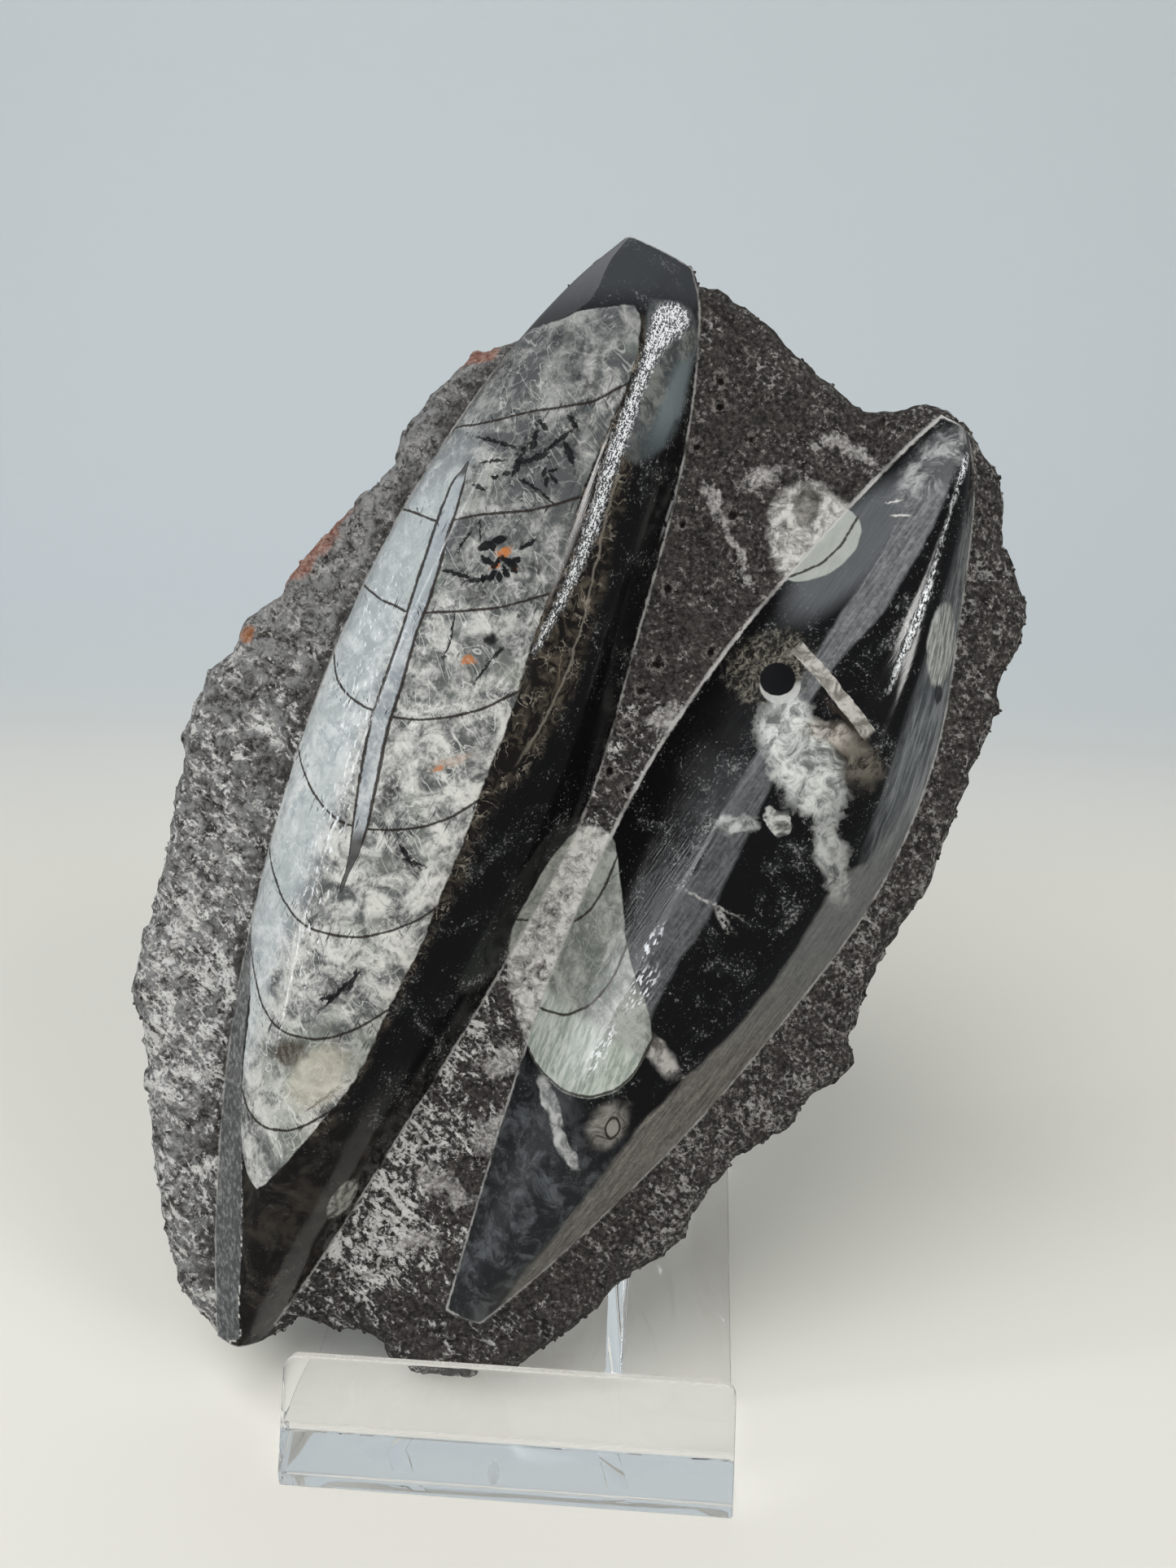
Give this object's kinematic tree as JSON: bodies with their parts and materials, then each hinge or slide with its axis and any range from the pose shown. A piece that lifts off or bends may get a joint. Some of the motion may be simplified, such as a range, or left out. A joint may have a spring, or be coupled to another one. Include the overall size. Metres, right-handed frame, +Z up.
{
  "type": "polished orthoceras fossil on a display easel",
  "caption": "Rough dark limestone slab with polished tapering fossil ridges, propped upright on a clear moulded display easel.",
  "frame": {"origin": "centre of the easel's underside, on the surface it stands on", "axes": "+Z up, +X to the right of a viewer facing the polished side, +Y to the back, towards which the slab leans"},
  "size_m": [0.1522, 0.0981, 0.1921],
  "materials": {
    "fossil_stone": "polished ridges on rough broken rock",
    "clear_acrylic": "clear, polished"
  },
  "bodies": {
    "root": {"fossil_slab": "fossil_stone", "easel_stand": "clear_acrylic"}
  },
  "joints": []
}
